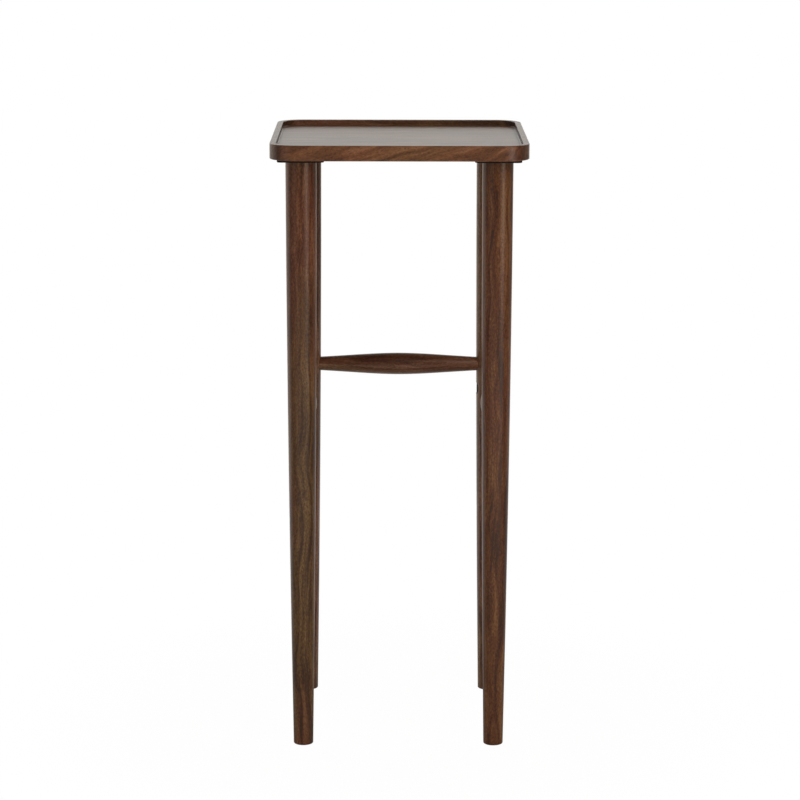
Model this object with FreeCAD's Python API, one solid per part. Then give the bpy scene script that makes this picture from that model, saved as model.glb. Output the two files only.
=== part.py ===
import FreeCAD, Part
import math
import os
from FreeCAD import Placement, Rotation, Vector

# A tall walnut stand: a rimmed tray on four turned legs, tied by three spindle stretchers.
# Millimetres. X points right, Y to the back, Z up. The origin is on the floor, under the tray's middle.

# Tray: a board glued up from staves, with the recess milled out of its top
stand_height = 762.0
tray_width = 316.0
tray_depth = 316.0
tray_thickness = 19.0
tray_corner_radius = 33.0
rim_width = 7.5
recess_depth = 7.0
rim_edge_round = 1.0
tray_bottom_round = 1.2
recess_foot_round = 1.2
stave_count = 5

# Legs: turned, thickest at the top, with one long curve down to the foot
leg_inset = 38.0
leg_top_diameter = 38.0
leg_waist_diameter = 34.0
leg_foot_diameter = 24.6
foot_edge_round = 1.5

# Stretchers: spindles that swell towards the middle
rear_stretcher_height = 444.0
stretcher_stagger = 32.0
stretcher_end_diameter = 18.0
rear_stretcher_diameter = 28.4
side_stretcher_diameter = 30.5
quarter_swell_share = 0.61
glued_end_gap = 2.0
glue_clearance = 0.05

# Leg plates: black steel, screwed up into the tray
plate_width = 57.0
plate_thickness = 2.7
plate_corner_radius = 6.0
plate_edge_round = 0.4
plate_screw_inset = 7.5

# Plate screws: countersunk wood screws, sunk level with the plates
screw_diameter = 4.0
screw_head_diameter = 8.0
screw_head_height = 2.1
screw_tip_length = 3.0
screw_wood_cover = 2.5
screw_clearance = 0.1
screw_drive_length = 4.6
screw_drive_width = 1.0
screw_drive_depth = 1.4

# Hanger bolts: wood thread in the leg, machine thread in the nut that is welded on the plate
hanger_diameter = 8.0
hanger_wood_length = 42.0
hanger_tip_length = 7.0
hanger_clearance = 0.1
nut_across_flats = 13.0
nut_height = 6.5
nut_sides = 6
nut_pocket_clearance = 0.8

# Cam locks: drums that draw the rear ends of the side stretchers into the rear legs
cam_diameter = 15.0
cam_face_recess = 0.6
cam_tail_wall = 2.2
cam_socket_wall = 2.85
cam_clearance = 0.15
cam_drive_length = 8.5
cam_drive_width = 1.7
cam_drive_depth = 2.6
cam_turn_degrees = 180

# Cam bolts: screwed into the side stretchers, with a head that the cam catches
cam_bolt_thread_diameter = 6.0
cam_bolt_thread_length = 14.0
cam_bolt_neck_diameter = 4.5
cam_bolt_head_diameter = 7.0
cam_bolt_head_length = 3.0
cam_bolt_head_seat = 3.9
cam_bolt_clearance = 0.35

# Every cut runs this far past the face that it breaks through
cut_overrun = 1.0

# Worked out from the sizes above
tray_bottom = stand_height - tray_thickness
tray_floor = stand_height - recess_depth
floor_thickness = tray_thickness - recess_depth
leg_length = tray_bottom - plate_thickness
leg_x = tray_width / 2 - leg_inset
leg_y = tray_depth / 2 - leg_inset
side_stretcher_height = rear_stretcher_height - stretcher_stagger
stretcher_end_radius = stretcher_end_diameter / 2
screw_offset = plate_width / 2 - plate_screw_inset
screw_length = plate_thickness + floor_thickness - screw_wood_cover
hanger_bore_radius = hanger_diameter / 2 + hanger_clearance
nut_corner_radius = nut_across_flats / 2 / math.cos(math.pi / nut_sides)
cam_radius = cam_diameter / 2
cam_bore_radius = cam_radius + cam_clearance
cam_end_gap = cam_bore_radius + cam_socket_wall
cam_head_radius = cam_bolt_head_diameter / 2
cam_half_cavity = cam_head_radius + 2 * cam_bolt_clearance
cam_cavity_radius = math.hypot(cam_head_radius, cam_bolt_head_seat) + cam_clearance
cam_tail_offset = cam_half_cavity + cam_tail_wall

X_AXIS = Vector(1, 0, 0)
Y_AXIS = Vector(0, 1, 0)
Z_AXIS = Vector(0, 0, 1)
FORWARDS = Vector(0, -1, 0)
LEFTWARDS = Vector(-1, 0, 0)
ORIGIN = Vector(0, 0, 0)
FULL_TURN = 360
SAME_PLACE = 1e-4

# Each corner's side along X and end along Y
CORNERS = {
    "front_left": (-1, -1),
    "front_right": (1, -1),
    "rear_left": (-1, 1),
    "rear_right": (1, 1),
}
SIDES = {"left": -1, "right": 1}


def line(start, end):
    return Part.LineSegment(start, end).toShape()


def outline_through(points):
    """The straight edges of a closed outline."""
    return [line(start, end) for start, end in zip(points, points[1:] + points[:1])]


def turned(edges, axis):
    """The solid that a closed outline sweeps in one full turn about an axis through the origin."""
    return Part.Face(Part.Wire(edges)).revolve(ORIGIN, axis, FULL_TURN)


def rod(base, direction, near, far, radius):
    """A round bar along a direction, between two distances from its base point."""
    return Part.makeCylinder(radius, far - near, base + direction * near, direction)


def edges_level_at(shape, height):
    """The edges of a shape that lie flat at one height."""
    found = []
    for edge in shape.Edges:
        box = edge.BoundBox
        if abs(box.ZMin - height) < SAME_PLACE and abs(box.ZMax - height) < SAME_PLACE:
            found.append(edge)
    return found


def rounded_slab(width, depth, corner_radius, bottom, height):
    """A plate about the Z axis with round upright corners."""
    slab = Part.makeBox(width, depth, height, Vector(-width / 2, -depth / 2, bottom))
    upright = [edge for edge in slab.Edges if edge.BoundBox.ZLength > height / 2]
    return slab.makeFillet(corner_radius, upright)


def cross_recess(shape, face_centre, inwards, across, length, width, depth):
    """A shape with a cross-shaped screwdriver recess cut into one of its faces."""
    along = inwards.cross(across)
    for first, second in ((across, along), (along, across)):
        corner = face_centre - first * (length / 2) - second * (width / 2) - inwards * cut_overrun
        points = [
            corner,
            corner + first * length,
            corner + first * length + second * width,
            corner + second * width,
        ]
        arm = Part.Face(Part.Wire(outline_through(points)))
        shape = shape.cut(arm.extrude(inwards * (depth + cut_overrun)))
    return shape


def leg_axis(corner):
    """The foot of a leg's axis on the floor."""
    side, end = CORNERS[corner]
    return Vector(side * leg_x, end * leg_y, 0)


def leg_control_radius():
    """The radius that the middle pole of a leg's side needs, for the curve to pass through the waist."""
    return leg_waist_diameter - (leg_foot_diameter + leg_top_diameter) / 4


def leg_side():
    """A leg's side: one long parabola from its foot through its waist to its top."""
    side = Part.BezierCurve()
    side.setPoles([
        Vector(leg_foot_diameter / 2, 0, 0),
        Vector(leg_control_radius(), 0, leg_length / 2),
        Vector(leg_top_diameter / 2, 0, leg_length),
    ])
    return side.toShape()


def leg_radius_at(height):
    """Radius of a leg at a height above the floor, on the parabola of its side."""
    up = height / leg_length
    down = 1 - up
    foot_part = down ** 2 * leg_foot_diameter / 2
    waist_part = 2 * up * down * leg_control_radius()
    top_part = up ** 2 * leg_top_diameter / 2
    return foot_part + waist_part + top_part


def past_leg(height):
    """How far from a leg's axis a cut has to start, to break through its side."""
    return leg_radius_at(height) + cut_overrun


def cam_face_offset():
    """Distance from a leg's axis to the face of its cam."""
    return leg_radius_at(side_stretcher_height) - cam_face_recess


def cam_centre(side):
    """Where a cam's axis crosses its bolt's axis, on the axis of a rear leg."""
    return Vector(SIDES[side] * leg_x, leg_y, side_stretcher_height)


def screw_places(corner):
    """Where the four screws of a plate enter the tray's underside."""
    centre = leg_axis(corner) + Z_AXIS * tray_bottom
    places = []
    for across in (-screw_offset, screw_offset):
        for along in (-screw_offset, screw_offset):
            places.append(centre + Vector(across, along, 0))
    return places


def make_tray():
    """The whole tray with its recess, nut pockets and screw holes, before it is parted into staves."""
    board = rounded_slab(tray_width, tray_depth, tray_corner_radius, tray_bottom, tray_thickness)
    board = board.makeFillet(tray_bottom_round, edges_level_at(board, tray_bottom))
    recess = rounded_slab(
        tray_width - 2 * rim_width,
        tray_depth - 2 * rim_width,
        tray_corner_radius - rim_width,
        tray_floor,
        recess_depth + cut_overrun,
    )
    recess = recess.makeFillet(recess_foot_round, edges_level_at(recess, tray_floor))
    tray = board.cut(recess)
    tray = tray.makeFillet(rim_edge_round, edges_level_at(tray, stand_height))
    pocket_radius = nut_corner_radius + nut_pocket_clearance
    pocket_depth = nut_height + nut_pocket_clearance
    pilot_radius = screw_diameter / 2 + screw_clearance
    pilot_depth = screw_length - plate_thickness + screw_clearance
    for corner in CORNERS:
        under_leg = leg_axis(corner) + Z_AXIS * tray_bottom
        tray = tray.cut(rod(under_leg, Z_AXIS, -cut_overrun, pocket_depth, pocket_radius))
        for place in screw_places(corner):
            tray = tray.cut(rod(place, Z_AXIS, -cut_overrun, pilot_depth, pilot_radius))
    return tray


def make_staves():
    """The tray parted into equal boards along its glue lines, counted from the front."""
    tray = make_tray()
    stave_depth = tray_depth / stave_count
    slice_width = tray_width + 2 * cut_overrun
    slice_height = tray_thickness + 2 * cut_overrun
    slice_bottom = tray_bottom - cut_overrun
    staves = {}
    for number in range(stave_count):
        front = number * stave_depth - tray_depth / 2
        corner = Vector(-slice_width / 2, front, slice_bottom)
        stave = tray.common(Part.makeBox(slice_width, stave_depth, slice_height, corner))
        staves[f"tray_stave_{number + 1}"] = stave
    return staves


def make_leg_blank(corner):
    """A turned leg with no holes, standing at its corner."""
    foot = Vector(leg_foot_diameter / 2, 0, 0)
    top = Vector(leg_top_diameter / 2, 0, leg_length)
    top_middle = Z_AXIS * leg_length
    outline = [line(ORIGIN, foot), leg_side(), line(top, top_middle), line(top_middle, ORIGIN)]
    blank = turned(outline, Z_AXIS)
    blank = blank.makeFillet(foot_edge_round, edges_level_at(blank, 0))
    blank.translate(leg_axis(corner))
    return blank


def socket(leg_point, direction, gap):
    """The round hole for a stretcher's end, which stops short of the leg's axis by a gap."""
    radius = stretcher_end_radius + glue_clearance
    return rod(leg_point, direction, gap, past_leg(leg_point.z), radius)


def make_leg(corner):
    """A leg with its bolt hole, and the sockets and bores of the stretchers that meet it.

    Both cam bores open to the left, so the two side frames are alike and not mirrored.
    """
    side, end = CORNERS[corner]
    axis = leg_axis(corner)
    bolt_foot = leg_length - hanger_wood_length - hanger_clearance
    leg = make_leg_blank(corner)
    leg = leg.cut(rod(axis, Z_AXIS, bolt_foot, leg_length + cut_overrun, hanger_bore_radius))
    side_joint = axis + Z_AXIS * side_stretcher_height
    if end < 0:
        return leg.cut(socket(side_joint, Y_AXIS, glued_end_gap))
    rear_joint = axis + Z_AXIS * rear_stretcher_height
    leg = leg.cut(socket(rear_joint, X_AXIS * -side, glued_end_gap))
    leg = leg.cut(socket(side_joint, FORWARDS, cam_end_gap))
    bolt_way_radius = cam_head_radius + cam_bolt_clearance
    leg = leg.cut(rod(side_joint, FORWARDS, 0, cam_end_gap + cut_overrun, bolt_way_radius))
    bore_end = cam_tail_offset + cam_clearance
    bore_mouth = past_leg(side_stretcher_height)
    return leg.cut(rod(side_joint, LEFTWARDS, -bore_end, bore_mouth, cam_bore_radius))


def make_spindle(leg_gap, height, middle_diameter, near_gap, far_gap):
    """A spindle along X about the origin: plain round ends, and a swell between the legs' faces."""
    half_swell = leg_gap / 2 - leg_radius_at(height)
    near_end = near_gap - leg_gap / 2
    far_end = leg_gap / 2 - far_gap
    middle_radius = middle_diameter / 2
    swell = middle_radius - stretcher_end_radius
    quarter_radius = stretcher_end_radius + swell * quarter_swell_share
    belly = Part.BSplineCurve()
    belly.interpolate([
        Vector(-half_swell, 0, stretcher_end_radius),
        Vector(-half_swell / 2, 0, quarter_radius),
        Vector(0, 0, middle_radius),
        Vector(half_swell / 2, 0, quarter_radius),
        Vector(half_swell, 0, stretcher_end_radius),
    ])
    near_rim = Vector(near_end, 0, stretcher_end_radius)
    far_rim = Vector(far_end, 0, stretcher_end_radius)
    outline = [
        line(Vector(far_end, 0, 0), Vector(near_end, 0, 0)),
        line(Vector(near_end, 0, 0), near_rim),
        line(near_rim, belly.StartPoint),
        belly.toShape(),
        line(belly.EndPoint, far_rim),
        line(far_rim, Vector(far_end, 0, 0)),
    ]
    return turned(outline, X_AXIS)


def make_rear_stretcher():
    """The spindle between the rear legs, glued at both ends."""
    spindle = make_spindle(
        2 * leg_x, rear_stretcher_height, rear_stretcher_diameter, glued_end_gap, glued_end_gap
    )
    spindle.translate(Vector(0, leg_y, rear_stretcher_height))
    return spindle


def make_side_stretcher(side):
    """A side spindle, glued into its front leg and bored for the cam bolt at its rear end."""
    spindle = make_spindle(
        2 * leg_y, side_stretcher_height, side_stretcher_diameter, glued_end_gap, cam_end_gap
    )
    middle = Vector(SIDES[side] * leg_x, 0, side_stretcher_height)
    spindle.Placement = Placement(middle, Rotation(X_AXIS, Y_AXIS))
    bore_radius = cam_bolt_thread_diameter / 2 + screw_clearance
    bore_end = cam_end_gap + cam_bolt_thread_length + screw_clearance
    bore = rod(cam_centre(side), FORWARDS, cam_end_gap - cut_overrun, bore_end, bore_radius)
    return spindle.cut(bore)


def make_plate(corner):
    """A steel plate between a leg and the tray, with a bolt hole and four screw holes."""
    plate = rounded_slab(plate_width, plate_width, plate_corner_radius, leg_length, plate_thickness)
    plate = plate.makeFillet(plate_edge_round, edges_level_at(plate, leg_length))
    plate.translate(leg_axis(corner))
    under = leg_axis(corner) + Z_AXIS * leg_length
    past_top = plate_thickness + cut_overrun
    plate = plate.cut(rod(under, Z_AXIS, -cut_overrun, past_top, hanger_bore_radius))
    screw_hole_radius = screw_diameter / 2 + screw_clearance
    sink_radius = screw_head_diameter / 2 + screw_clearance
    sink_flare = cut_overrun * (sink_radius - screw_hole_radius) / screw_head_height
    for place in screw_places(corner):
        plate = plate.cut(rod(place, Z_AXIS, -past_top, cut_overrun, screw_hole_radius))
        sink_start = place - Z_AXIS * past_top
        sink_height = screw_head_height + cut_overrun
        plate = plate.cut(Part.makeCone(sink_radius + sink_flare, screw_hole_radius, sink_height, sink_start))
    return plate


def make_weld_nut(corner):
    """A hexagon nut welded on top of a plate, standing up into its pocket in the tray."""
    points = []
    for number in range(nut_sides):
        angle = 2 * math.pi * number / nut_sides
        points.append(Vector(math.cos(angle), math.sin(angle), 0) * nut_corner_radius)
    nut = Part.Face(Part.Wire(outline_through(points))).extrude(Z_AXIS * nut_height)
    nut = nut.cut(rod(ORIGIN, Z_AXIS, -cut_overrun, nut_height + cut_overrun, hanger_bore_radius))
    nut.translate(leg_axis(corner) + Z_AXIS * tray_bottom)
    return nut


def make_hanger_bolt(corner):
    """A headless bolt, pointed in the leg and level with the top of the weld nut."""
    radius = hanger_diameter / 2
    top = plate_thickness + nut_height
    points = [
        Vector(0, 0, -hanger_wood_length),
        Vector(radius, 0, hanger_tip_length - hanger_wood_length),
        Vector(radius, 0, top),
        Vector(0, 0, top),
    ]
    bolt = turned(outline_through(points), Z_AXIS)
    bolt.translate(leg_axis(corner) + Z_AXIS * leg_length)
    return bolt


def make_screw():
    """A countersunk wood screw that points up, with the flat face of its head at the origin."""
    shank_radius = screw_diameter / 2
    points = [
        ORIGIN,
        Vector(screw_head_diameter / 2, 0, 0),
        Vector(shank_radius, 0, screw_head_height),
        Vector(shank_radius, 0, screw_length - screw_tip_length),
        Vector(0, 0, screw_length),
    ]
    screw = turned(outline_through(points), Z_AXIS)
    return cross_recess(
        screw, ORIGIN, Z_AXIS, X_AXIS, screw_drive_length, screw_drive_width, screw_drive_depth
    )


def make_plate_screws(corner):
    """The four screws of one plate, with their heads level with its underside."""
    pattern = make_screw()
    screws = []
    for place in screw_places(corner):
        screw = pattern.copy()
        screw.translate(place - Z_AXIS * plate_thickness)
        screws.append(screw)
    return Part.makeCompound(screws)


def make_cam(side):
    """A cam that faces left: a drum hollowed for the bolt's head, with a half-turn slot and a mouth."""
    face = X_AXIS * cam_face_offset()
    drum = rod(ORIGIN, X_AXIS, -cam_tail_offset, face.x, cam_radius)
    drum = drum.cut(rod(ORIGIN, X_AXIS, -cam_half_cavity, cam_half_cavity, cam_cavity_radius))
    slot_radius = cam_bolt_neck_diameter / 2 + cam_bolt_clearance
    past_drum = cam_radius + cut_overrun
    inside_wall = cam_cavity_radius - cut_overrun
    slot_section = Part.Face(Part.Wire(outline_through([
        Vector(-slot_radius, -past_drum, 0),
        Vector(slot_radius, -past_drum, 0),
        Vector(slot_radius, -inside_wall, 0),
        Vector(-slot_radius, -inside_wall, 0),
    ])))
    drum = drum.cut(slot_section.revolve(ORIGIN, X_AXIS, -cam_turn_degrees))
    drum = drum.cut(rod(ORIGIN, FORWARDS, 0, past_drum, slot_radius))
    mouth = rod(ORIGIN, FORWARDS, 0, past_drum, cam_head_radius + cam_bolt_clearance)
    mouth.rotate(ORIGIN, X_AXIS, -cam_turn_degrees)
    drum = drum.cut(mouth)
    drum = cross_recess(
        drum, face, X_AXIS * -1, Y_AXIS, cam_drive_length, cam_drive_width, cam_drive_depth
    )
    drum.rotate(ORIGIN, Y_AXIS, FULL_TURN / 2)
    drum.translate(cam_centre(side))
    return drum


def make_cam_bolt(side):
    """The bolt from a side stretcher's rear end into the cam, with its head behind the cam's wall."""
    centre = cam_centre(side)
    thread_end = cam_end_gap + cam_bolt_thread_length
    head_end = cam_bolt_head_seat - cam_bolt_head_length
    thread = rod(centre, FORWARDS, cam_end_gap, thread_end, cam_bolt_thread_diameter / 2)
    neck = rod(centre, FORWARDS, cam_bolt_head_seat, cam_end_gap, cam_bolt_neck_diameter / 2)
    head = rod(centre, FORWARDS, head_end, cam_bolt_head_seat, cam_head_radius)
    return thread.fuse(neck).fuse(head).removeSplitter()


def main():
    nodes = make_staves()
    for corner in CORNERS:
        nodes[f"leg_{corner}"] = make_leg(corner)
        nodes[f"leg_plate_{corner}"] = make_plate(corner)
        nodes[f"weld_nut_{corner}"] = make_weld_nut(corner)
        nodes[f"hanger_bolt_{corner}"] = make_hanger_bolt(corner)
        nodes[f"plate_screws_{corner}"] = make_plate_screws(corner)
    nodes["stretcher_rear"] = make_rear_stretcher()
    for side in SIDES:
        nodes[f"stretcher_{side}"] = make_side_stretcher(side)
        nodes[f"cam_lock_{side}"] = make_cam(side)
        nodes[f"cam_bolt_{side}"] = make_cam_bolt(side)
    os.makedirs("parts", exist_ok=True)
    for name, shape in nodes.items():
        print(name, "solids", len(shape.Solids), "volume", round(shape.Volume, 1), "valid", shape.isValid())
        shape.exportStep(f"parts/{name}.step")


main()
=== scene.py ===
# %% [markdown]
# # A walnut tray stand
# The stand is a square tray with a low rim on four turned legs, tied by three spindles.
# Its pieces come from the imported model, which is loaded first and stays where it is.
# This lesson gives each piece its finish, makes the threaded fasteners, and sets up light and camera.

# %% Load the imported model
import math

import bpy
import numpy as np
from mathutils import Euler, Matrix, Vector


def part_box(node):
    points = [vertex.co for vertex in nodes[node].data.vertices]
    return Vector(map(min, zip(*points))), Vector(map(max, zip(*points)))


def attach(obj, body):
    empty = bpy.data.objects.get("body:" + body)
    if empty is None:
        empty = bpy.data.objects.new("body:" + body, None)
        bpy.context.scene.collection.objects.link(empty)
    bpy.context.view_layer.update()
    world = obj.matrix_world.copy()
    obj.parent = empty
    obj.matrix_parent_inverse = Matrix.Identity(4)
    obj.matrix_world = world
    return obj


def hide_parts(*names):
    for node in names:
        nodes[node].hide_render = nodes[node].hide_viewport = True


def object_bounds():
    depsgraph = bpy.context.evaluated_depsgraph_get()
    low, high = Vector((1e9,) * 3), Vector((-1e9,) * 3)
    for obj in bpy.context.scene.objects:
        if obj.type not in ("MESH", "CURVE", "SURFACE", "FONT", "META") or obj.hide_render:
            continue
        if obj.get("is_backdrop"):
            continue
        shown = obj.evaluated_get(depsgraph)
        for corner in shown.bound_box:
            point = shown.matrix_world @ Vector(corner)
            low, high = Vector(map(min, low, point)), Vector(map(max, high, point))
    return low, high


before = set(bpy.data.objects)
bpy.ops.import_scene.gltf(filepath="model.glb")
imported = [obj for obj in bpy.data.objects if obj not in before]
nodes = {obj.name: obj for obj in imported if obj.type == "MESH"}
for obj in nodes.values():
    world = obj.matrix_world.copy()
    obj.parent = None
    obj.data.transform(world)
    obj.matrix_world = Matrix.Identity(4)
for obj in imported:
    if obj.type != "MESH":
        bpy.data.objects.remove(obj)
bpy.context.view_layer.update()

# %% [markdown]
# ## Camera
# The photograph was taken from the front, a little above the tray and from far away, so upright legs stay
# almost upright. Place, tilt and lens were fitted to the tray's corners and the feet. A long lens far away
# is the right way to get that flat look: a short lens close by would spread the feet.

# %% Camera at the photograph's viewing angle
IMAGE_SIDE_PX = 800
FOCAL_PX = 2889.5
SENSOR_MM = 36.0
CAMERA_PLACE = Vector((-0.0096, -3.6265, 1.1426))
CAMERA_PITCH, CAMERA_YAW, CAMERA_ROLL = 0.1970, 0.0031, 0.0022

camera_data = bpy.data.cameras.new("front_camera")
camera_data.sensor_width = SENSOR_MM
camera_data.lens = SENSOR_MM * FOCAL_PX / IMAGE_SIDE_PX
camera = bpy.data.objects.new("front_camera", camera_data)
pitched = Matrix.Rotation(math.pi / 2 - CAMERA_PITCH, 3, "X")
facing = Matrix.Rotation(-CAMERA_YAW, 3, "Z") @ pitched @ Matrix.Rotation(CAMERA_ROLL, 3, "Z")
camera.matrix_world = Matrix.Translation(CAMERA_PLACE) @ facing.to_4x4()
bpy.context.scene.collection.objects.link(camera)
bpy.context.scene.camera = camera
print(f"lens {camera_data.lens:.1f} mm, {CAMERA_PLACE.length:.2f} m from the origin")

# %% [markdown]
# ## Colours and nodes
# Colours are written as sRGB hex, the way a paint chart gives them, and one function turns them to the
# linear values that shaders work with. Another function adds a node: it sets properties, fills in inputs,
# and links any input that is given another node's output. A third one starts a material. Setting up every
# node by hand would bury the few numbers that matter.

# %% Small helpers for materials
def linear(hex_colour):
    """The linear RGBA of an sRGB hex colour."""
    channels = [int(hex_colour[start:start + 2], 16) / 255 for start in (1, 3, 5)]
    opened = [c / 12.92 if c <= 0.04045 else ((c + 0.055) / 1.055) ** 2.4 for c in channels]
    return (*opened, 1.0)


def add(tree, kind, inputs=None, **settings):
    """Adds a node and gives back its outputs. An input's value is a number, a colour or another output."""
    node = tree.nodes.new("ShaderNode" + kind)
    for name, value in settings.items():
        setattr(node, name, value)
    for key, value in (inputs or {}).items():
        if isinstance(value, bpy.types.NodeSocket):
            tree.links.new(value, node.inputs[key])
        else:
            node.inputs[key].default_value = value
    return node.outputs


def new_material(name):
    """A new material with its node tree and its one Principled shader."""
    material = bpy.data.materials.new(name)
    material.use_nodes = True
    return material, material.node_tree, material.node_tree.nodes["Principled BSDF"]


print("walnut mid-tone, linear:", [round(c, 3) for c in linear("#6A4630")])

# %% [markdown]
# ## Walnut
# Walnut is solid wood, so its figure runs through the piece: straight streaks along the grain on a turned
# side, and growth rings on a cut end. Painting a picture on the surface would break at every edge. Here
# the figure is a solid pattern in space instead. Each piece reads it in its own grain frame, in millimetres,
# with Z along the grain, so the lathe and the saw seem to cut into it.
# - Slow noise bends the grain a little, as in a tree that didn't grow quite straight.
# - Drift, streaks, fibres and pores are noise that is stretched along the grain.

# %% Grain frame and layers of figure
MM = 0.001
# The grain sways by up to this much, in patches of this size across and along it
SWAY_MM = 22.0
SWAY_PATCH_MM = (36, 36, 105)
# Size across and along the grain in mm, and the noise's detail. Real pores are 0.2 mm wide and 2 to 5 mm
# long, too fine to show, so pores are drawn about six times as wide, and fibres to match.
WALNUT_LAYERS = {
    "drift": (16, 150, 2.0),
    "streak": (4.0, 110, 2.0),
    "fibre": (1.4, 3.4, 2.0),
    "pore": (1.2, 3.0, 1.0),
    "blush": (48, 260, 1.0),
}
# How far one step of the seed moves a piece through the noise
SWAY_STRIDE = (2.3, 1.0, 7.1)
LAYER_STRIDE = (3.7, 1.9, 5.3)


def grain_figure(tree, spot, place, turn, seed):
    """Grain coordinates in mm, bent by slow noise, and a dictionary with each layer's noise in them.

    The grain runs along Z of a frame at a place, turned by Euler angles.
    """
    straight = add(tree, "Mapping", {"Vector": spot, "Location": place, "Rotation": turn,
                                     "Scale": (MM, MM, MM)}, vector_type="TEXTURE")[0]
    patches = tuple(1 / size for size in SWAY_PATCH_MM)
    sway_start = tuple(seed * stride for stride in SWAY_STRIDE)
    slow = add(tree, "VectorMath", {0: straight, 1: patches, 2: sway_start}, operation="MULTIPLY_ADD")[0]
    sway = add(tree, "TexNoise", {"Vector": slow, "Scale": 1.0, "Detail": 1.0})["Color"]
    grain = add(tree, "VectorMath", {0: sway, 1: (SWAY_MM, SWAY_MM, 0), 2: straight},
                operation="MULTIPLY_ADD")[0]
    start_x, start_y, start_z = (seed * stride for stride in LAYER_STRIDE)
    figure = {}
    for number, (layer, (across, along, detail)) in enumerate(WALNUT_LAYERS.items()):
        step = (1 / across, 1 / across, 1 / along)
        start = (start_x + number, start_y, start_z)
        stretched = add(tree, "VectorMath", {0: grain, 1: step, 2: start}, operation="MULTIPLY_ADD")[0]
        figure[layer] = add(tree, "TexNoise", {"Vector": stretched, "Scale": 1.0, "Detail": detail})[0]
    return grain, figure


print("layers of figure:", ", ".join(WALNUT_LAYERS))

# %% [markdown]
# ### Tone
# A growth ring is pale early wood with a dark band of late wood. Rings are the distance from the pith, the
# tree's centre line, which lies beside the piece because boards are sawn away from it. End grain drinks more
# finish than a side does, so it is darker. Each part could have a colour of its own, but they share the same
# brown in real wood, so here they all add up to one number, the tone, which picks the colour later.

# %% Tone of the wood
RING_WIDTH_MM = 12.0
RING_WANDER_YEARS = 1.0
# Each ring's year counts up to a half and back down, and late wood is the top of that count
HALF_YEAR = 0.5
LATE_WOOD_START = 0.3
LATE_WOOD_TONE = -0.24
# How straight a cut goes across the grain, from where it starts to look like end grain to a full end
END_GRAIN_START, END_GRAIN_FULL = 0.3, 0.7
END_GRAIN_TONE = -0.55
TONE_SHARES = {"drift": 1.1, "streak": 1.3, "fibre": 1.1}
# Noise is a half on average, so this start brings the sum of the layers to the middle of the tones
MIDDLE_TONE = 0.53
START_TONE = MIDDLE_TONE - sum(TONE_SHARES.values()) / 2


def grain_tone(tree, normal, grain, figure, turn, pith, contrast):
    """How light the wood is, from 0 to 1: a start, less late wood and end grain, plus each layer's share.

    Pith is how far the piece's middle lies from the pith, in mm. Contrast spreads the tones about the middle.
    """
    from_pith = add(tree, "VectorMath", {0: grain, 1: (1, 1, 0), 2: pith}, operation="MULTIPLY_ADD")[0]
    distance = add(tree, "VectorMath", {0: from_pith}, operation="LENGTH")["Value"]
    age = add(tree, "Math", {0: distance, 1: 1 / RING_WIDTH_MM}, operation="MULTIPLY")[0]
    years = add(tree, "Math", {0: figure["drift"], 1: RING_WANDER_YEARS, 2: age}, operation="MULTIPLY_ADD")[0]
    season = add(tree, "Math", {0: years, 1: HALF_YEAR}, operation="PINGPONG")[0]
    late_wood = add(tree, "MapRange", {"Value": season, "From Min": LATE_WOOD_START, "From Max": HALF_YEAR},
                    interpolation_type="SMOOTHERSTEP")[0]
    tone = add(tree, "Math", {0: late_wood, 1: LATE_WOOD_TONE, 2: START_TONE}, operation="MULTIPLY_ADD")[0]
    along_grain = Euler(turn).to_matrix() @ Vector((0, 0, 1))
    lean = add(tree, "VectorMath", {0: normal, 1: along_grain}, operation="DOT_PRODUCT")["Value"]
    cut_across = add(tree, "Math", {0: lean}, operation="ABSOLUTE")[0]
    end_grain = add(tree, "MapRange", {"Value": cut_across, "From Min": END_GRAIN_START,
                                       "From Max": END_GRAIN_FULL})[0]
    tone = add(tree, "Math", {0: end_grain, 1: END_GRAIN_TONE, 2: tone}, operation="MULTIPLY_ADD")[0]
    for layer, share in TONE_SHARES.items():
        tone = add(tree, "Math", {0: figure[layer], 1: share, 2: tone}, operation="MULTIPLY_ADD")[0]
    return add(tree, "Math", {0: tone, 1: contrast, 2: (1 - contrast) / 2}, operation="MULTIPLY_ADD")[0]


print(f"tone starts at {START_TONE:.2f}")

# %% [markdown]
# ### Colour and lacquer
# The tone picks a brown from a row of four. Walnut is redder in some places and more golden in others, so
# each wood has two rows, and a broad blush of noise blends them. The satin lacquer fills the pores but not
# quite. A separate clear coat would give the same sheen twice, so the lacquer is the shader's own gloss over
# the wood's colour, with a fine bump from pores and fibres. In a drilled hole there is no lacquer, so the
# wood is raw and rough there, and its colour is painted near-black: a painted shade for the dark inside of
# the hole.

# %% Walnut under satin lacquer
# The lacquer's roughness over smooth and over rough fibres
SATIN = (0.35, 0.41)
LACQUER_IOR = 1.42
TURNED_CONTRAST = 1.35
# Where in each layer's noise the second row, the pores and the rough fibres begin, and where they are full
BLUSH_START, BLUSH_FULL = 0.38, 0.62
PORE_START, PORE_FULL = 0.56, 0.70
SMOOTH_FIBRE, ROUGH_FIBRE = 0.3, 0.7
PORE_COLOUR, PORE_SHADE = "#22130A", 0.4
PORE_DEPTH_MM, FIBRE_HEIGHT_MM, RELIEF_STRENGTH = 0.06, 0.03, 0.6
# Raw wood in a bore: its roughness, and a near-black colour that is painted shade for the hole's dark inside
BORE_PAINTED_SHADE, RAW_ROUGHNESS = "#150C07", 0.95
# How far raw wood and its painted shade reach from a hole's mouth, in metres. Along X that is more than the
# hole is deep.
BORE_REACH = (0.030, 0.0088, 0.0088)


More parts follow.
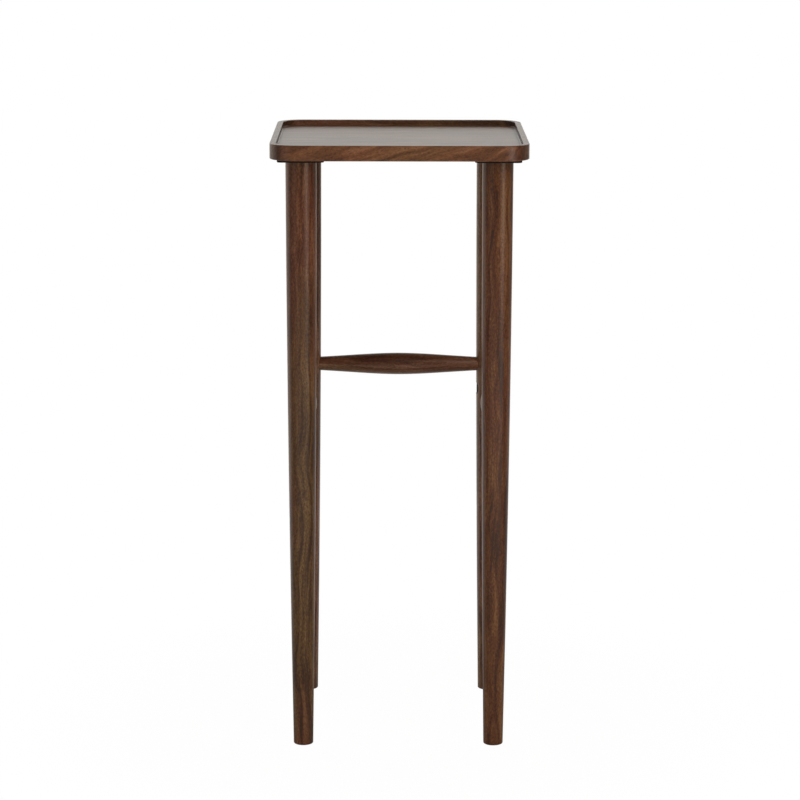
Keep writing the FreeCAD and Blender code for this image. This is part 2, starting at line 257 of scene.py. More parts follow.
# Walnut, turned or planed and lacquered: the eye sees deep brown with darker streaks along the grain, fine
# dark pores, a soft sheen on the legs, and a grey glare where light meets the tray at a flat angle
def walnut(name, tones, place, turn, pith, seed, bore=None, gloss=SATIN, contrast=TURNED_CONTRAST):
    """Lacquered walnut with its grain in a frame at a place. A bore is the mouth of a hole along X, where the
    wood is raw and painted dark as shade.
    """
    material, tree, shader = new_material(name)
    spot = add(tree, "TexCoord")
    grain, figure = grain_figure(tree, spot["Object"], place, turn, seed)
    tone = grain_tone(tree, spot["Normal"], grain, figure, turn, pith, contrast)
    browns = []
    for row in tones:
        ramp = add(tree, "ValToRGB", {"Fac": tone})
        stops = ramp[0].node.color_ramp.elements
        for number in range(1, len(row) - 1):
            stops.new(number / (len(row) - 1))
        for stop, hex_colour in zip(stops, row):
            stop.color = linear(hex_colour)
        browns.append(ramp["Color"])
    blush = add(tree, "MapRange", {"Value": figure["blush"], "From Min": BLUSH_START,
                                   "From Max": BLUSH_FULL})[0]
    wood = add(tree, "Mix", {0: blush, 6: browns[0], 7: browns[1]}, data_type="RGBA")[2]
    pores = add(tree, "MapRange", {"Value": figure["pore"], "From Min": PORE_START, "From Max": PORE_FULL,
                                   "To Max": PORE_SHADE})[0]
    colour = add(tree, "Mix", {0: pores, 6: wood, 7: linear(PORE_COLOUR)}, data_type="RGBA")[2]
    rough = add(tree, "MapRange", {"Value": figure["fibre"], "From Min": SMOOTH_FIBRE,
                                   "From Max": ROUGH_FIBRE, "To Min": gloss[0], "To Max": gloss[1]})[0]
    if bore:
        from_mouth = add(tree, "Mapping", {"Vector": spot["Object"], "Location": bore, "Scale": BORE_REACH},
                         vector_type="TEXTURE")[0]
        reach = add(tree, "VectorMath", {0: from_mouth}, operation="LENGTH")["Value"]
        inside = add(tree, "Math", {0: reach, 1: 1.0}, operation="LESS_THAN")[0]
        # Painted shade: inside the bore the colour turns near-black, for the dark inside of the hole
        colour = add(tree, "Mix", {0: inside, 6: colour, 7: linear(BORE_PAINTED_SHADE)}, data_type="RGBA")[2]
        rough = add(tree, "Mix", {0: inside, 2: rough, 3: RAW_ROUGHNESS})[0]
    sunk = add(tree, "Math", {0: pores, 1: -PORE_DEPTH_MM}, operation="MULTIPLY")[0]
    height_mm = add(tree, "Math", {0: figure["fibre"], 1: FIBRE_HEIGHT_MM, 2: sunk},
                    operation="MULTIPLY_ADD")[0]
    relief = add(tree, "Bump", {"Height": height_mm, "Distance": MM, "Strength": RELIEF_STRENGTH})[0]
    tree.links.new(colour, shader.inputs["Base Color"])
    tree.links.new(rough, shader.inputs["Roughness"])
    tree.links.new(relief, shader.inputs["Normal"])
    shader.inputs["IOR"].default_value = LACQUER_IOR
    return material


print("lacquer roughness", SATIN)

# %% [markdown]
# ### The tray
# The tray is glued up from five staves, with the grain from left to right. One material over the whole tray
# would hide the glue lines, so each stave has its own pith and its own place in the noise. The front
# stave's grain dips to one side, which draws slanting lines on the tray's edge.

# %% Tray staves
# Each wood has a red and a gold row of tones, from dark to light
TRAY_TONES = (("#442818", "#5F3B28", "#774B33", "#8E6148"), ("#432918", "#5E3F28", "#755033", "#8C6548"))
REAR_TONES = (("#452A1C", "#603E2B", "#754F38", "#8C634A"), ("#442C1B", "#5E422B", "#735438", "#8A684A"))
ALONG_X = math.pi / 2
STAVES = 5
TRAY_SEED, TRAY_CONTRAST = 51, 0.9
FRONT_DIP, STAVE_DIP = 0.30, 0.03
PITH_START_MM, PITH_STEP_MM, PITH_DEPTH_MM = -40, 14, 55


def dress(node, material):
    """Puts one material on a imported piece, in place of its plain one."""
    nodes[node].data.materials.clear()
    nodes[node].data.materials.append(material)


def middle(node):
    """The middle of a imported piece's box."""
    low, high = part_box(node)
    return (low + high) / 2


for number in range(1, STAVES + 1):
    node = f"tray_stave_{number}"
    dip = FRONT_DIP if number == 1 else STAVE_DIP * (-1) ** number
    tones = REAR_TONES if number == STAVES else TRAY_TONES
    pith = (PITH_START_MM + PITH_STEP_MM * number, PITH_DEPTH_MM, 0)
    dress(node, walnut(f"walnut_stave_{number}", tones, middle(node), (0, ALONG_X - dip, 0), pith,
                       TRAY_SEED + number, contrast=TRAY_CONTRAST))
print("walnut on", STAVES, "staves")

# %% [markdown]
# ### Legs
# A leg is turned from a straight square stick, so its grain runs along it. The same stick four times would
# look printed, so each leg is turned round its axis and has its own seed. The rear legs have the bores for
# the cam locks. A dark disc could stand for a bore, but the solid has the real hole, so only its skin is raw,
# and it is painted dark as the shade inside the hole.

# %% Legs
LEG_TONES = (("#37190A", "#502812", "#60361E", "#754D34"), ("#331C09", "#492F12", "#5A401F", "#6F5635"))
RED_TONES = (("#361709", "#50270F", "#60351A", "#754B2E"), ("#361908", "#4F2A0F", "#5F391A", "#734F2E"))
# Paler, greyer tones for the rear legs and the rear rail: a painted sheen, for the grey glare that they catch
PALE_SHEEN_TONES = (("#42210F", "#5A3420", "#6C4630", "#815E4A"), ("#40240F", "#583920", "#6A4C32", "#7F644B"))
CORNERS = ("front_left", "front_right", "rear_left", "rear_right")
LEG_SEEDS = {"front_left": 67, "front_right": 135, "rear_left": 29, "rear_right": 30}
LEG_LEAN, LEG_TURN = (0.014, 0.01), 1.3
LEG_PITH_MM = (38, 21, 0)
for number, corner in enumerate(CORNERS):
    node = f"leg_{corner}"
    row, side = corner.split("_")
    tones, bore = RED_TONES if corner == "front_right" else LEG_TONES, None
    # Rear legs get the bores, and the paler tones that paint a sheen on them
    if row == "rear":
        # The bore's mouth is at the cam's left end
        cam = f"cam_lock_{side}"
        tones, bore = PALE_SHEEN_TONES, (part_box(cam)[0].x, *middle(cam).yz)
    dress(node, walnut(f"walnut_{node}", tones, middle(node), (*LEG_LEAN, LEG_TURN * number), LEG_PITH_MM,
                       LEG_SEEDS[corner], bore))
print("walnut on", len(CORNERS), "legs")

# %% [markdown]
# ### Spindles
# The rear rail and the two side spindles are turned too, and lie along X and along Y. They could share the
# legs' material, but then the grain would run across them, so each has a grain frame of its own. The side
# spindles were left with less lacquer and shine less.

# %% Spindles
RAIL_PITH_MM, RAIL_SEED, RAIL_CONTRAST = (33, 18, 0), 69, 1.15
# The rear rail takes the paler tones too: a painted sheen
dress("stretcher_rear", walnut("walnut_stretcher_rear", PALE_SHEEN_TONES, middle("stretcher_rear"), (0, ALONG_X, 0),
                               RAIL_PITH_MM, RAIL_SEED, contrast=RAIL_CONTRAST))
ALONG_Y = -math.pi / 2
SIDES = ("left", "right")
SIDE_SEEDS = {"left": 31, "right": 32}
SIDE_PITH_MM, SIDE_GLOSS = (30, -22, 0), (0.5, 0.6)
for side in SIDES:
    node = f"stretcher_{side}"
    dress(node, walnut(f"walnut_{node}", LEG_TONES, middle(node), (ALONG_Y, 0, 0), SIDE_PITH_MM,
                       SIDE_SEEDS[side], gloss=SIDE_GLOSS))
print("walnut on", sum("walnut" in piece.data.materials[0].name for piece in nodes.values()), "pieces")

# %% [markdown]
# ## Metal finishes
# The plates between legs and tray are steel with a black powder coat. The screws are blackened, bolts and
# nuts are zinc plated, and the cams are raw zinc castings. Four separate node trees would say the same thing
# four times, so one function serves them all: they differ only in colour, gloss and the size of their grain.
# Grains under half a millimetre are too fine to show, so the smallest ones are drawn about twice as coarse.

# %% Fittings
DEFAULT_SHINE = 0.5


def fitting(name, colour, speckle, metallic, roughness, grain_mm, relief_mm, shine=DEFAULT_SHINE):
    """A finish of one colour with a slight speckle and a fine skin of one grain size."""
    material, tree, shader = new_material(name)
    spot = add(tree, "TexCoord")["Object"]
    skin = add(tree, "TexNoise", {"Vector": spot, "Scale": 1 / (grain_mm * MM), "Detail": 3.0})[0]
    tint = add(tree, "Mix", {0: skin, 6: linear(colour), 7: linear(speckle)}, data_type="RGBA")[2]
    relief = add(tree, "Bump", {"Height": skin, "Distance": relief_mm * MM, "Strength": 1.0})[0]
    tree.links.new(tint, shader.inputs["Base Color"])
    tree.links.new(relief, shader.inputs["Normal"])
    shader.inputs["Metallic"].default_value = metallic
    shader.inputs["Roughness"].default_value = roughness
    shader.inputs["Specular IOR Level"].default_value = shine
    return material


# Melted powder grains leave a dull black orange-peel skin that hardly catches the light
powder_coat = fitting("black_powder_coat", "#0B0807", "#120D0B", metallic=0.0, roughness=0.65, grain_mm=0.9,
                      relief_mm=0.03, shine=0.2)
# Oxide blackens the steel but leaves it metal, so screw heads look brown-black with a weak shine
black_oxide = fitting("black_oxide_steel", "#26231F", "#34302B", metallic=0.6, roughness=0.42, grain_mm=0.5,
                      relief_mm=0.01)
# Plating is bright and faintly blue, with a satin shine from the rolled steel under it
zinc_plate = fitting("bright_zinc_plate", "#B4B6B8", "#C6C7C4", metallic=1.0, roughness=0.3, grain_mm=0.6,
                     relief_mm=0.006)
# A raw casting is grey and matt, with the mould's fine frosting
cast_zinc = fitting("die_cast_zinc", "#4A4A4C", "#5E5F61", metallic=1.0, roughness=0.5, grain_mm=0.5,
                    relief_mm=0.02)
for corner in CORNERS:
    dress(f"leg_plate_{corner}", powder_coat)
for side in SIDES:
    dress(f"cam_lock_{side}", cast_zinc)
print("finishes:", ", ".join(finish.name for finish in (powder_coat, black_oxide, zinc_plate, cast_zinc)))

# %% [markdown]
# ## Threaded fasteners
# Hanger bolts join the legs to nuts that are welded on the plates, countersunk screws hold the plates, and
# cam bolts reach from the side spindles into the cams. Their threads are rolled: a ridge winds round a core,
# one pitch for each turn. A Screw modifier could wind a profile too, but its ends stay open and it can't run
# out at a tip. So each fastener is a surface over two parameters: the way along its outline, and the angle
# round its axis. The crest is as thick as the plain solid that the fastener stands for.

# %% Rings for turned and threaded shapes
AROUND = 48
ANGLES = np.linspace(0, 2 * np.pi, AROUND, endpoint=False)
CREST_SHARE = 0.1


def rings(radius, height):
    """Points in mm on rings round Z: (r cos a, r sin a, z), for radii and heights that may change with a."""
    radius, height, angle = np.broadcast_arrays(radius, height, ANGLES)
    return np.stack([radius * np.cos(angle), radius * np.sin(angle), height], axis=-1)


def turned(outline):
    """Plain rings, one for each (height, radius) of an outline."""
    height, radius = np.array(outline, float).T[:, :, None]
    return rings(radius, height)


def threaded(outline, pitch, root, rings_a_turn, start=0.0):
    """Threaded rings over an outline of (height, core radius, crest radius), so many to a turn.

    Radius = core + (crest - core) * ridge. The ridge is 0 on the root's share of each turn, 1 on the crest's
    share, and straight between. Turns = height / pitch - angle / 2 pi, so the ridge climbs one pitch a turn.
    Start is where height 0 lies on the thread that this one has to fit.
    """
    height, core, crest = np.array(outline, float).T
    count = round(abs(height[-1] - height[0]) / (pitch / rings_a_turn)) + 1
    share = np.linspace(0, 1, count)
    known = (height - height[0]) / (height[-1] - height[0])
    along, core, crest = (np.interp(share, known, row)[:, None] for row in (height, core, crest))
    turns = (along + start) / pitch - ANGLES / (2 * np.pi)
    from_crest = 2 * np.abs(turns % 1 - 0.5)
    ridge = np.clip((1 - root - from_crest) / (1 - CREST_SHARE - root), 0, 1)
    return rings(core + (crest - core) * ridge, along)


print("one ring has", AROUND, "points")

# %% [markdown]
# ### From rings to a closed piece
# A turned skin is a stack of rings. Blender could skin it with a Bridge tool, but then the order of faces is
# up to the tool. Here quads join each ring to the next by their numbers alone, so every face points outwards.
# The place is in the points, and the piece itself stays at the origin.

# %% Closed fasteners
SHARP_EDGE = math.radians(35)


def fastener(node, skin, turn, places, finish, hollow=False):
    """Sets a skin of rings at each place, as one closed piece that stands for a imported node.

    Neighbouring rings are joined by quads. A hollow skin's last ring joins its first, and any other skin is
    closed by a flat face at each end.
    """
    rows = len(skin)
    ring = np.arange(rows * AROUND).reshape(rows, AROUND)
    beside, above = np.roll(ring, -1, axis=1), np.roll(ring, -1, axis=0)
    quads = np.stack([ring, beside, np.roll(above, -1, axis=1), above], axis=-1)
    quads = (quads if hollow else quads[:-1]).reshape(-1, 4)
    ends = np.zeros((0, AROUND), int) if hollow else np.stack([ring[0][::-1], ring[-1]])
    shape = skin.reshape(-1, 3) @ np.array(turn).T * MM
    points = np.array(places)[:, None, :] + shape
    shifts = np.arange(len(places))[:, None, None] * rows * AROUND
    faces = (quads + shifts).reshape(-1, 4).tolist() + (ends + shifts).reshape(-1, AROUND).tolist()
    mesh = bpy.data.meshes.new(node + "_threaded")
    mesh.from_pydata(points.reshape(-1, 3).tolist(), [], faces)
    mesh.polygons.foreach_set("use_smooth", np.ones(len(faces), bool))
    mesh.set_sharp_from_angle(angle=SHARP_EDGE)
    mesh.materials.append(finish)
    piece = bpy.data.objects.new(node + "_threaded", mesh)
    bpy.context.scene.collection.objects.link(piece)
    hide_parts(node)
    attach(piece, "stand")


print(f"edges over {math.degrees(SHARP_EDGE):.0f} degrees stay sharp")

# %% [markdown]
# ### Hanger bolts
# A hanger bolt is a wood screw at one end and a machine screw at the other. It is driven into the top of the
# leg, and the machine thread then goes into the nut. Both threads share one skin with a plain shank between
# them, because two joined pieces would leave a seam.

# %% Hanger bolts
BOLT_RADIUS, SHANK_RADIUS, BOLT_END_RADIUS = 4.0, 3.5, 3.1
LAG_CORE, LAG_PITCH, LAG_ROOT, LAG_RINGS = 2.8, 3.2, 0.5, 12
LAG_TIP_CORE, LAG_TIP_CREST = 0.15, 0.3
LAG_TIP_LENGTH, LAG_END, LAG_RUN_OUT = 7, 31, 3
MACHINE_CORE, MACHINE_PITCH, MACHINE_ROOT, MACHINE_RINGS = 3.25, 1.25, 0.1, 8
MACHINE_START, MACHINE_RUN_IN, BOLT_CHAMFER = 34, 2, 0.8

bolt_low, bolt_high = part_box("hanger_bolt_front_left")
bolt_length = (bolt_high - bolt_low).z / MM
lag = threaded([(0, LAG_TIP_CORE, LAG_TIP_CREST), (LAG_TIP_LENGTH, LAG_CORE, BOLT_RADIUS),
                (LAG_END - LAG_RUN_OUT, LAG_CORE, BOLT_RADIUS), (LAG_END, SHANK_RADIUS, SHANK_RADIUS)],
               LAG_PITCH, LAG_ROOT, LAG_RINGS)
machine = threaded([(MACHINE_START, SHANK_RADIUS, SHANK_RADIUS),
                    (MACHINE_START + MACHINE_RUN_IN, MACHINE_CORE, BOLT_RADIUS),
                    (bolt_length - BOLT_CHAMFER, MACHINE_CORE, BOLT_RADIUS),
                    (bolt_length, BOLT_END_RADIUS, BOLT_END_RADIUS)],
                   MACHINE_PITCH, MACHINE_ROOT, MACHINE_RINGS)
hanger_bolt = np.concatenate([lag, machine])
print(f"hanger bolts {bolt_length:.1f} mm long, {len(hanger_bolt)} rings")

# %% [markdown]
# ### Weld nuts
# A nut is a hexagon whose top corners are turned off by a cone, round a thread that fits the bolt's. Cutting
# the cone with a boolean would be slow and untidy. The side's radius is the smaller of hexagon and cone at
# each angle instead, and the same skin then goes down the bore, so the nut closes like a ring. Each bolt and
# its nut go in together, on one axis.

# %% Weld nuts on their bolts
UPRIGHT = Matrix.Identity(3)
NUT_FLAT, NUT_BORE, NUT_CHAMFER = 6.5, 4.1, 0.58
NUT_CLEARANCE, NUT_MOUTH = 0.1, 0.6
CONE_SLOPE, CONE_RINGS = math.pi / 6, 8
HEXAGON_STEP = math.pi / 3

nut_low, nut_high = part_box("weld_nut_front_left")
nut_height = (nut_high - nut_low).z / MM
nut_start = (nut_low - bolt_low).z / MM
# The hexagon's radius is its flat's, divided by the cosine of the angle from the middle of that flat
hexagon = NUT_FLAT / np.cos(ANGLES % HEXAGON_STEP - HEXAGON_STEP / 2)
cone_start = nut_height - NUT_CHAMFER
cone_heights = np.linspace(cone_start, nut_height, CONE_RINGS)
side_height = np.concatenate([[0], cone_heights])[:, None]
# The cone's radius starts at the hexagon's corners and shrinks by height / tan(slope)
cone = hexagon.max() - np.maximum(side_height - cone_start, 0) / math.tan(CONE_SLOPE)
nut_sides = rings(np.minimum(hexagon, cone), side_height)
nut_core = MACHINE_CORE + NUT_CLEARANCE
nut_thread = threaded([(nut_height, NUT_BORE, NUT_BORE), (nut_height - NUT_MOUTH, nut_core, NUT_BORE),
                       (NUT_MOUTH, nut_core, NUT_BORE), (0, NUT_BORE, NUT_BORE)],
                      MACHINE_PITCH, MACHINE_ROOT, MACHINE_RINGS, nut_start)
weld_nut = np.concatenate([nut_sides, nut_thread])
for corner in CORNERS:
    bolt, nut = f"hanger_bolt_{corner}", f"weld_nut_{corner}"
    axis = middle(bolt)
    fastener(bolt, hanger_bolt, UPRIGHT, [(axis.x, axis.y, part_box(bolt)[0].z)], zinc_plate)
    fastener(nut, weld_nut, UPRIGHT, [(axis.x, axis.y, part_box(nut)[0].z)], zinc_plate,
             hollow=True)
print(f"nuts {nut_height:.1f} mm high")

# %% [markdown]
# ### Plate screws
# A countersunk screw starts with the face of its head. The cross recess is a dent in that face: two tapered
# slots at a right angle, deepest in the middle. Cutting it with a boolean would leave thin slivers, so the
# face is a fine disc of rings, and each point sinks by the depth of the recess there.

# %% Plate screws
HEAD_RADIUS, HEAD_HEIGHT, HEAD_EDGE = 4.0, 2.1, 0.1
DISC_CENTRE, DISC_RINGS = 0.1, 30
RECESS_REACH, RECESS_HALF_WIDTH, RECESS_WALL, RECESS_DEPTH, RECESS_SLOPE = 2.3, 0.62, 0.25, 1.4, 1.15
SCREW_RADIUS, SCREW_NECK, SCREW_CORE, SCREW_LOW_CORE = 2.0, 1.5, 1.35, 1.3
SCREW_PITCH, SCREW_ROOT, SCREW_RINGS = 1.8, 0.5, 12
SCREW_RUN_IN, SCREW_TIP_LENGTH, SCREW_TIP_CORE, SCREW_TIP_CREST = 1, 3, 0.1, 0.2


def slot_share(along, across):
    """Depth of one slot from 0 to 1, which falls to 0 at its reach and at its walls.

    Depth = slope * (1 - |along| / reach) times (half width - |across|) / wall, each kept from 0 to 1.
    """
    floor_share = np.clip(RECESS_SLOPE * (1 - np.abs(along) / RECESS_REACH), 0, 1)
    return floor_share * np.clip((RECESS_HALF_WIDTH - np.abs(across)) / RECESS_WALL, 0, 1)


screw_low, screw_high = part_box("plate_screws_front_left")
screw_length = (screw_high - screw_low).z / MM
head_disc = rings(np.linspace(DISC_CENTRE, HEAD_RADIUS, DISC_RINGS)[:, None], 0.0)
disc_x, disc_y = head_disc[..., 0], head_disc[..., 1]
head_disc[..., 2] = RECESS_DEPTH * np.maximum(slot_share(disc_x, disc_y), slot_share(disc_y, disc_x))
shank = threaded([(HEAD_EDGE, HEAD_RADIUS, HEAD_RADIUS), (HEAD_HEIGHT, SCREW_NECK, SCREW_NECK),
                  (HEAD_HEIGHT + SCREW_RUN_IN, SCREW_CORE, SCREW_RADIUS),
                  (screw_length - SCREW_TIP_LENGTH, SCREW_LOW_CORE, SCREW_RADIUS),
                  (screw_length, SCREW_TIP_CORE, SCREW_TIP_CREST)], SCREW_PITCH, SCREW_ROOT, SCREW_RINGS)
plate_screw = np.concatenate([head_disc, shank])
inset = HEAD_RADIUS * MM
for corner in CORNERS:
    node = f"plate_screws_{corner}"
    low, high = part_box(node)
    places = [(x, y, low.z) for x in (low.x + inset, high.x - inset) for y in (low.y + inset, high.y - inset)]
    fastener(node, plate_screw, UPRIGHT, places, black_oxide)
print(f"{len(places)} screws to a plate, {screw_length:.1f} mm long")

# %% [markdown]
# ### Cam bolts
# A cam bolt is screwed into the end of a side spindle. Its round head sits in the cam, which pulls on it as
# it turns. The head could be a sphere or a plain cylinder, but a short dome is what slides well in a cam. The
# skin is made upright, like the others, and then laid along Y with its head to the rear.

# %% Cam bolts
BACKWARDS = Matrix(((1, 0, 0), (0, 0, 1), (0, -1, 0)))
CAM_THREAD_RADIUS, CAM_CORE, CAM_NECK, CAM_HEAD = 3.0, 2.0, 2.25, 3.5
CAM_THREAD_LENGTH, CAM_HEAD_LENGTH, CAM_HEAD_EDGE = 14.0, 3.0, 0.3
CAM_TIP_CORE, CAM_TIP_CREST, CAM_TIP_LENGTH, CAM_RUN_OUT = 1.2, 1.4, 1.6, 0.6
CAM_PITCH, CAM_ROOT, CAM_RINGS = 2.0, 0.45, 12
# Points of the dome: how far back from the head's end, and how far in from its side
CAM_DOME = ((0.7, 0.0), (0.2, 0.5), (0.0, 1.2))

cam_bolt_low, cam_bolt_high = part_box("cam_bolt_left")
cam_bolt_length = (cam_bolt_high - cam_bolt_low).y / MM
head_start = cam_bolt_length - CAM_HEAD_LENGTH
wood_thread = threaded([(0, CAM_TIP_CORE, CAM_TIP_CREST), (CAM_TIP_LENGTH, CAM_CORE, CAM_THREAD_RADIUS),
                        (CAM_THREAD_LENGTH - CAM_RUN_OUT, CAM_CORE, CAM_THREAD_RADIUS),
                        (CAM_THREAD_LENGTH, CAM_NECK, CAM_NECK)], CAM_PITCH, CAM_ROOT, CAM_RINGS)
dome = [(cam_bolt_length - back, CAM_HEAD - inward) for back, inward in CAM_DOME]
neck_and_head = turned([(head_start, CAM_NECK), (head_start, CAM_HEAD - CAM_HEAD_EDGE),
                        (head_start + CAM_HEAD_EDGE, CAM_HEAD), *dome])
cam_bolt = np.concatenate([wood_thread, neck_and_head])
for side in SIDES:
    node = f"cam_bolt_{side}"
    axis = middle(node)
    fastener(node, cam_bolt, BACKWARDS, [(axis.x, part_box(node)[0].y, axis.z)], zinc_plate)
print(f"cam bolts {cam_bolt_length:.1f} mm long")

# %% [markdown]
# ## Light
# The photograph has soft studio light from the front right. One large lamp would flatten the turned legs, so
# several soft ones share the work, and each is a rectangle that faces the stand.
# - The key softbox stands high on the right and shapes the whole stand. From up there its glare on the tray
#   stays weak, also when the tray is seen from behind.
# - A low strip on the right gives the legs their lighter right half. It stays below the tray's top.
# - A wide fill on the left and a card near the floor open the shadows, and two weak cards at the sides
#   brighten the legs' edges.
# - A pair of lamps high at the rear lights the back of the stand and the tray.

# %% Lamps
LAMP_COLOUR = "#FFF3E6"


def softbox(name, place, target, size, watts):
    """A rectangular lamp that faces a target."""
    data = bpy.data.lights.new(name, "AREA")
    data.shape = "RECTANGLE"
    data.size, data.size_y = size
    data.energy = watts
    data.color = linear(LAMP_COLOUR)[:3]
    lamp = bpy.data.objects.new(name, data)
    look = (Vector(target) - Vector(place)).to_track_quat("-Z", "Y")
    lamp.matrix_world = Matrix.Translation(place) @ look.to_matrix().to_4x4()
    bpy.context.scene.collection.objects.link(lamp)
    return lamp


lamps = [
    softbox("key_softbox", place=(1.15, -2.1, 2.3), target=(0, 0, 0.5), size=(1.1, 1.2), watts=30.5),
    softbox("strip_light", place=(1.6, -1.9, 0.4), target=(0, 0, 0.4), size=(0.8, 0.7), watts=10.5),
    softbox("left_fill", place=(-2.0, -1.6, 0.9), target=(0, 0, 0.4), size=(1.8, 1.6), watts=7.5),
    softbox("left_card", place=(-1.8, 0.4, 0.7), target=(0, 0, 0.5), size=(0.8, 1.4), watts=3),
    softbox("right_card", place=(1.8, 0.4, 0.7), target=(0, 0, 0.5), size=(0.8, 1.4), watts=1.8),
    softbox("rear_fill_left", place=(-1.4, 2.0, 2.4), target=(0, 0, 0.4), size=(1.4, 1.4), watts=16),
    softbox("rear_fill_right", place=(1.6, 1.8, 2.4), target=(0, 0, 0.4), size=(1.4, 1.4), watts=16),
    softbox("bounce_card", place=(-0.2, -1.3, 0.06), target=(0, 0, 0.5), size=(1.8, 0.5), watts=4.8),
]
print(f"{len(lamps)} lamps, {sum(lamp.data.energy for lamp in lamps):.1f} W together")

# %% [markdown]
# ## Background and reflections
# The background is plain white to the camera. Lacquer works like a mirror at a flat angle, so the tray shows
# the white sweep behind the stand as a grey glare. A world that is white all round would put that glare on
# every leg and wash the wood out. So mirrored rays meet white only at the back and low down, and a dim studio
# in front. Below the horizon the white turns a little warm, which keeps the legs' sheen brown. Scattered
# light gets half of all this.

# %% Studio world
# The way to the backdrop, and how nearly a ray goes that way at its edge and where it is full
BACKDROP_WAY = (-0.22, 0.975, 0)
BACKDROP_EDGE, BACKDROP_FULL = 0.4, 0.85
BACKDROP_LEVEL, CEILING_LEVEL, FRONT_LEVEL = 1.58, 0.15, 0.08
# How steeply a ray rises to meet the dark ceiling or the full backdrop, then the range of the warm tint
CEILING_RISE, BACKDROP_RISE = 0.65, 0.25
LOW_START, LOW_FULL = 0.05, -0.15
SWEEP_COLOUR, LOW_COLOUR = "#FCFFFC", "#DCCBBD"
SCATTERED_SHARE = 0.5
WHITE = (1, 1, 1, 1)

world = bpy.data.worlds.new("studio")
world.use_nodes = True
sky = world.node_tree
sky_ray = add(sky, "LightPath")
direction = add(sky, "TexCoord")["Generated"]
upward = add(sky, "SeparateXYZ", {0: direction})["Z"]
low_down = add(sky, "MapRange", {"Value": upward, "From Min": CEILING_RISE, "From Max": BACKDROP_RISE,
                                 "To Min": CEILING_LEVEL, "To Max": BACKDROP_LEVEL},
               interpolation_type="SMOOTHSTEP")[0]
backward = add(sky, "VectorMath", {0: direction, 1: BACKDROP_WAY}, operation="DOT_PRODUCT")["Value"]
behind = add(sky, "MapRange", {"Value": backward, "From Min": BACKDROP_EDGE, "From Max": BACKDROP_FULL,
                               "To Min": FRONT_LEVEL, "To Max": low_down}, interpolation_type="SMOOTHSTEP")[0]
scattered = add(sky, "Math", {0: behind, 1: SCATTERED_SHARE}, operation="MULTIPLY")[0]
sky_mirrored = add(sky, "Math", {0: sky_ray["Is Glossy Ray"], 1: sky_ray["Is Transmission Ray"]},
                   operation="MAXIMUM")[0]
studio = add(sky, "Mix", {0: sky_mirrored, 2: scattered, 3: behind})[0]
level = add(sky, "Mix", {0: sky_ray["Is Camera Ray"], 2: studio, 3: 1.0})[0]
low_share = add(sky, "MapRange", {"Value": upward, "From Min": LOW_START, "From Max": LOW_FULL})[0]
sweep = add(sky, "Mix", {0: low_share, 6: linear(SWEEP_COLOUR), 7: linear(LOW_COLOUR)}, data_type="RGBA")[2]
sky_colour = add(sky, "Mix", {0: sky_ray["Is Camera Ray"], 6: sweep, 7: WHITE}, data_type="RGBA")[2]
background = sky.nodes["Background"]
sky.links.new(level, background.inputs["Strength"])
sky.links.new(sky_colour, background.inputs["Color"])
bpy.context.scene.world = world
bpy.context.scene.view_settings.view_transform = "Standard"
print("background strength to the camera 1, behind the stand", BACKDROP_LEVEL)

# %% [markdown]
# ## Floor
# The stand is shown on a wide sheet of white paper. A square would show its corners from above, so the floor
# is a flat disc, wide enough to take all of the shadow.

# %% Floor disc
FLOOR_RADIUS, FLOOR_SIDES = 2.2, 96
# The floor lies a hair below the feet, so that their soles still show from underneath
FLOOR_DROP = 0.0003
# The rim is a circle: radius times cosine and sine of equal steps of angle
around = np.linspace(0, 2 * math.pi, FLOOR_SIDES, endpoint=False)
rim = np.column_stack([FLOOR_RADIUS * np.cos(around), FLOOR_RADIUS * np.sin(around),
                       np.full(FLOOR_SIDES, -FLOOR_DROP)])
floor_mesh = bpy.data.meshes.new("floor")
floor_mesh.from_pydata(rim.tolist(), [], [list(range(FLOOR_SIDES))])
floor = bpy.data.objects.new("floor", floor_mesh)
bpy.context.scene.collection.objects.link(floor)
floor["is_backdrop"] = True
print("floor radius", FLOOR_RADIUS, "m")

# %% [markdown]
# ### Paper
# The paper is lit until it is plain white, so a shadow hardly shows on it. A matt disc alone would come out
# grey. So the disc is matt paper to the light, but the camera sees nearly all of it as plain white, with a
# trace of shadow left near the feet. Its rear part is white in mirrored rays too, because the sweep goes on
# there. From below it is clear to the camera, so that the underside shows.

# %% Paper floor
FLOOR_COLOUR, FLOOR_ROUGHNESS = "#E9E8E6", 0.9
FADE_START, FADE_END, WHITE_AT_FEET = 0.25, 0.6, 0.985
SWEEP_END = 0.6
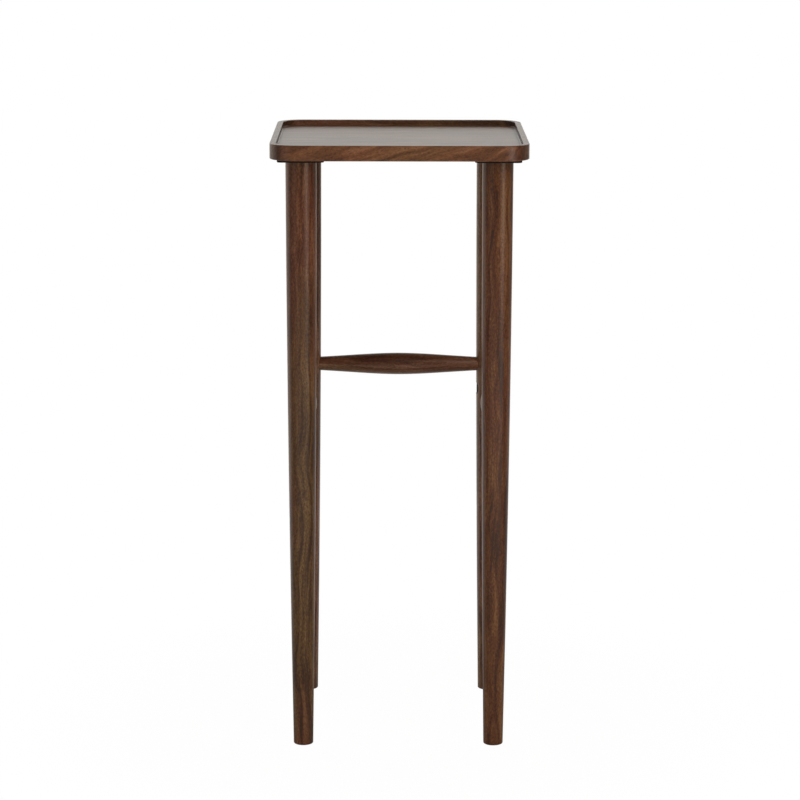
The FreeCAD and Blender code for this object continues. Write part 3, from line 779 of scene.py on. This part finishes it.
# Matt paper under bright light: the eye sees plain white, and only a trace of shadow where the feet stand
paper, paper_tree, paper_shader = new_material("white_paper_floor")
paper_shader.inputs["Base Color"].default_value = linear(FLOOR_COLOUR)
paper_shader.inputs["Roughness"].default_value = FLOOR_ROUGHNESS
ray = add(paper_tree, "LightPath")
floor_spot = add(paper_tree, "TexCoord")["Object"]
from_middle = add(paper_tree, "VectorMath", {0: floor_spot}, operation="LENGTH")["Value"]
fade = add(paper_tree, "MapRange", {"Value": from_middle, "From Min": FADE_START, "From Max": FADE_END,
                                    "To Min": WHITE_AT_FEET, "To Max": 1.0},
           interpolation_type="SMOOTHSTEP")[0]
mirrored = add(paper_tree, "Math", {0: ray["Is Glossy Ray"], 1: ray["Is Transmission Ray"]},
               operation="MAXIMUM")[0]
rearward = add(paper_tree, "VectorMath", {0: floor_spot, 1: BACKDROP_WAY}, operation="DOT_PRODUCT")["Value"]
swept = add(paper_tree, "MapRange", {"Value": rearward, "From Min": 0.0, "From Max": SWEEP_END})[0]
mirrored_sweep = add(paper_tree, "Math", {0: mirrored, 1: swept}, operation="MULTIPLY")[0]
seen_white = add(paper_tree, "Math", {0: ray["Is Camera Ray"], 1: mirrored_sweep}, operation="MAXIMUM")[0]
white_share = add(paper_tree, "Math", {0: fade, 1: seen_white}, operation="MULTIPLY")[0]
glow = add(paper_tree, "Emission", {"Color": WHITE, "Strength": 1.0})[0]
from_above = add(paper_tree, "MixShader", {0: white_share, 1: paper_shader.outputs[0], 2: glow})[0]
backfacing = add(paper_tree, "NewGeometry")["Backfacing"]
seen_below = add(paper_tree, "Math", {0: backfacing, 1: ray["Is Camera Ray"]}, operation="MULTIPLY")[0]
clear = add(paper_tree, "BsdfTransparent")[0]
surface = add(paper_tree, "MixShader", {0: seen_below, 1: from_above, 2: clear})[0]
paper_tree.links.new(surface, paper_tree.nodes["Material Output"].inputs["Surface"])
floor_mesh.materials.append(paper)
print(f"to the camera {WHITE_AT_FEET:.1%} white at the feet, plain white from {FADE_END} m")

# %% [markdown]
# ## Size
# The looks must not change the object's size, so the dressed model's box is printed at the end.

# %% Measure and finish
low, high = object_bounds()
print("visual box", [round(x, 4) for x in (*low, *high)])
